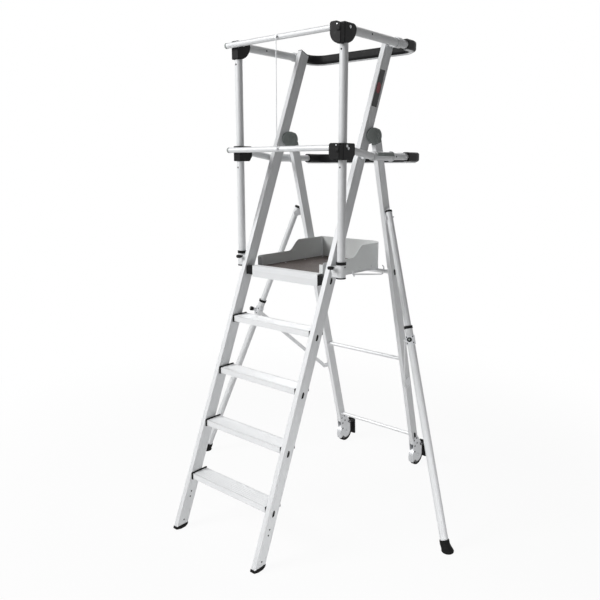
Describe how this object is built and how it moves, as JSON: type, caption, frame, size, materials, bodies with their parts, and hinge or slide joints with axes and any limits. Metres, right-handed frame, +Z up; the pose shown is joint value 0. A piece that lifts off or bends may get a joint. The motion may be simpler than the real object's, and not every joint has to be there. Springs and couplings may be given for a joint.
{
  "type": "podium step",
  "caption": "Folding aluminium podium step: leaning ladder with treads, guarded platform with lift-up gate bars, hinged rear frame on braked wheels and swing-out outriggers.",
  "frame": {"origin": "centre of the overall depth and width, on the floor", "axes": "+X to the right of someone facing the treads, +Y towards the wheels at the back, +Z up"},
  "size_m": [1.7246, 1.4976, 2.3634],
  "materials": {
    "bright_aluminium": "satin extruded",
    "tube_aluminium": "satin drawn tube",
    "black_plastic": "fine moulded grain",
    "hinge_plastic": "moulded grey green",
    "board_plastic": "smooth grey",
    "deck_board": "film faced brown",
    "steel": "zinc plated",
    "foot_rubber": "moulded",
    "tyre_rubber": "moulded"
  },
  "bodies": {
    "ladder": {"ladder_stile_left": "bright_aluminium", "ladder_stile_right": "bright_aluminium", "tread_1": "bright_aluminium", "tread_2": "bright_aluminium", "tread_3": "bright_aluminium", "tread_4": "bright_aluminium", "tread_end_caps": "black_plastic", "stile_plugs": "black_plastic", "front_feet": "foot_rubber", "hinge_brackets": "hinge_plastic", "hinge_pins": "steel", "post_sockets": "bright_aluminium", "socket_collars": "black_plastic", "guard_posts": "tube_aluminium", "top_rails": "tube_aluminium", "mid_rails": "tube_aluminium", "mid_rail_sleeves": "tube_aluminium", "rail_clamps": "bright_aluminium", "top_fittings": "black_plastic", "mid_fittings": "black_plastic", "top_back_rail": "black_plastic", "mid_back_rail": "black_plastic"},
    "gate_top": {"gate_bar_top": "tube_aluminium", "gate_knuckle_top": "black_plastic"},
    "gate_mid": {"gate_bar_mid": "tube_aluminium", "gate_knuckle_mid": "black_plastic"},
    "gate_rod": {"gate_link": "steel"},
    "platform": {"platform_nosing": "bright_aluminium", "platform_bearings": "black_plastic", "platform_frame": "bright_aluminium", "platform_deck": "deck_board", "toe_board_left": "board_plastic", "toe_board_back": "board_plastic", "toe_board_right": "board_plastic"},
    "rear_frame": {"rear_stile_left": "bright_aluminium", "rear_stile_right": "bright_aluminium", "rear_cross_tubes": "tube_aluminium", "rear_hubs_and_plugs": "hinge_plastic", "wheel_brackets": "steel", "outrigger_brackets": "steel"},
    "roller_left": {"wheel_left": "black_plastic", "tyre_left": "tyre_rubber"},
    "brake_left": {"brake_pedal_left": "black_plastic"},
    "arm_left": {"outrigger_arm_left": "tube_aluminium"},
    "leg_left": {"outrigger_leg_left": "tube_aluminium", "leg_clamp_left": "black_plastic", "leg_foot_left": "foot_rubber"},
    "stay_left": {"brace_left": "tube_aluminium"},
    "clamp_screw_left": {"socket_knob_left": "black_plastic"},
    "pull_knob_left": {"leg_knob_left": "black_plastic"},
    "roller_right": {"wheel_right": "black_plastic", "tyre_right": "tyre_rubber"},
    "brake_right": {"brake_pedal_right": "black_plastic"},
    "arm_right": {"outrigger_arm_right": "tube_aluminium"},
    "leg_right": {"outrigger_leg_right": "tube_aluminium", "leg_clamp_right": "black_plastic", "leg_foot_right": "foot_rubber"},
    "stay_right": {"brace_right": "tube_aluminium"},
    "clamp_screw_right": {"socket_knob_right": "black_plastic"},
    "pull_knob_right": {"leg_knob_right": "black_plastic"}
  },
  "joints": [
    {"name": "rear_fold", "type": "hinge", "parent": "ladder", "child": "rear_frame", "pos_m": [0, 0.12057, 1.902], "axis": [-1, 0, 0], "range_deg": [0, 36]},
    {"name": "platform_fold", "type": "hinge", "parent": "ladder", "child": "platform", "pos_m": [0, -0.21808, 1.24], "axis": [1, 0, 0], "range_deg": [0, 68]},
    {"name": "gate_lift", "type": "hinge", "parent": "ladder", "child": "gate_top", "pos_m": [0.333, -0.24049, 2.321], "axis": [0, 1, 0], "range_deg": [0, 75]},
    {"name": "gate_mid_lift", "type": "hinge", "parent": "ladder", "child": "gate_mid", "pos_m": [0.333, -0.24049, 1.8265], "axis": [0, 1, 0], "range_deg": [0, 75]},
    {"name": "gate_rod_turn", "type": "hinge", "parent": "gate_top", "child": "gate_rod", "pos_m": [-0.018, -0.25849, 2.333], "axis": [0, 1, 0], "range_deg": [-75, 0]},
    {"name": "outrigger_swing_left", "type": "hinge", "parent": "rear_frame", "child": "arm_left", "pos_m": [-0.31, 0.21699, 1.50827], "axis": [0.7771, -0.6067, -0.1671], "range_deg": [0, 31.15]},
    {"name": "leg_slide_left", "type": "slide", "parent": "arm_left", "child": "leg_left", "axis": [0.3255, 0.1603, 0.9318], "range_m": [0, 0.19028]},
    {"name": "stay_turn_left", "type": "hinge", "parent": "rear_frame", "child": "stay_left", "pos_m": [-0.29018, 0.46442, 0.54955], "axis": [0.7771, -0.6067, -0.1671], "range_deg": [-34.92, 0]},
    {"name": "wheel_spin_left", "type": "hinge", "parent": "rear_frame", "child": "roller_left", "pos_m": [-0.267, 0.65685, 0.062], "axis": [1, 0, 0], "continuous": true},
    {"name": "brake_press_left", "type": "hinge", "parent": "rear_frame", "child": "brake_left", "pos_m": [-0.267, 0.68385, 0.122], "axis": [-1, 0, 0], "range_deg": [0, 10]},
    {"name": "clamp_screw_turn_left", "type": "hinge", "parent": "ladder", "child": "clamp_screw_left", "pos_m": [-0.297, -0.22949, 1.307], "axis": [0, -1, 0], "continuous": true},
    {"name": "knob_pull_left", "type": "slide", "parent": "leg_left", "child": "pull_knob_left", "axis": [-0.3955, -0.8721, 0.2882], "range_m": [0, 0.008], "stiffness_N_per_m": 600},
    {"name": "outrigger_swing_right", "type": "hinge", "parent": "rear_frame", "child": "arm_right", "pos_m": [0.31, 0.21699, 1.50827], "axis": [0.7771, 0.6067, 0.1671], "range_deg": [0, 31.15]},
    {"name": "leg_slide_right", "type": "slide", "parent": "arm_right", "child": "leg_right", "axis": [-0.3255, 0.1603, 0.9318], "range_m": [0, 0.19028]},
    {"name": "stay_turn_right", "type": "hinge", "parent": "rear_frame", "child": "stay_right", "pos_m": [0.29018, 0.46442, 0.54955], "axis": [0.7771, 0.6067, 0.1671], "range_deg": [-34.92, 0]},
    {"name": "wheel_spin_right", "type": "hinge", "parent": "rear_frame", "child": "roller_right", "pos_m": [0.267, 0.65685, 0.062], "axis": [1, 0, 0], "continuous": true},
    {"name": "brake_press_right", "type": "hinge", "parent": "rear_frame", "child": "brake_right", "pos_m": [0.267, 0.68385, 0.122], "axis": [-1, 0, 0], "range_deg": [0, 10]},
    {"name": "clamp_screw_turn_right", "type": "hinge", "parent": "ladder", "child": "clamp_screw_right", "pos_m": [0.297, -0.22949, 1.307], "axis": [0, -1, 0], "continuous": true},
    {"name": "knob_pull_right", "type": "slide", "parent": "leg_right", "child": "pull_knob_right", "axis": [0.3955, -0.8721, 0.2882], "range_m": [0, 0.008], "stiffness_N_per_m": 600}
  ],
  "couplings": [
    {"joint": "platform_fold", "follows": "rear_fold", "ratio": 1.8889},
    {"joint": "gate_mid_lift", "follows": "gate_lift", "ratio": 1},
    {"joint": "gate_rod_turn", "follows": "gate_lift", "ratio": -1},
    {"joint": "leg_slide_left", "follows": "outrigger_swing_left", "m_per_rad": 0.34997},
    {"joint": "stay_turn_left", "follows": "outrigger_swing_left", "ratio": -1.121},
    {"joint": "leg_slide_right", "follows": "outrigger_swing_right", "m_per_rad": 0.34997},
    {"joint": "stay_turn_right", "follows": "outrigger_swing_right", "ratio": -1.121}
  ]
}
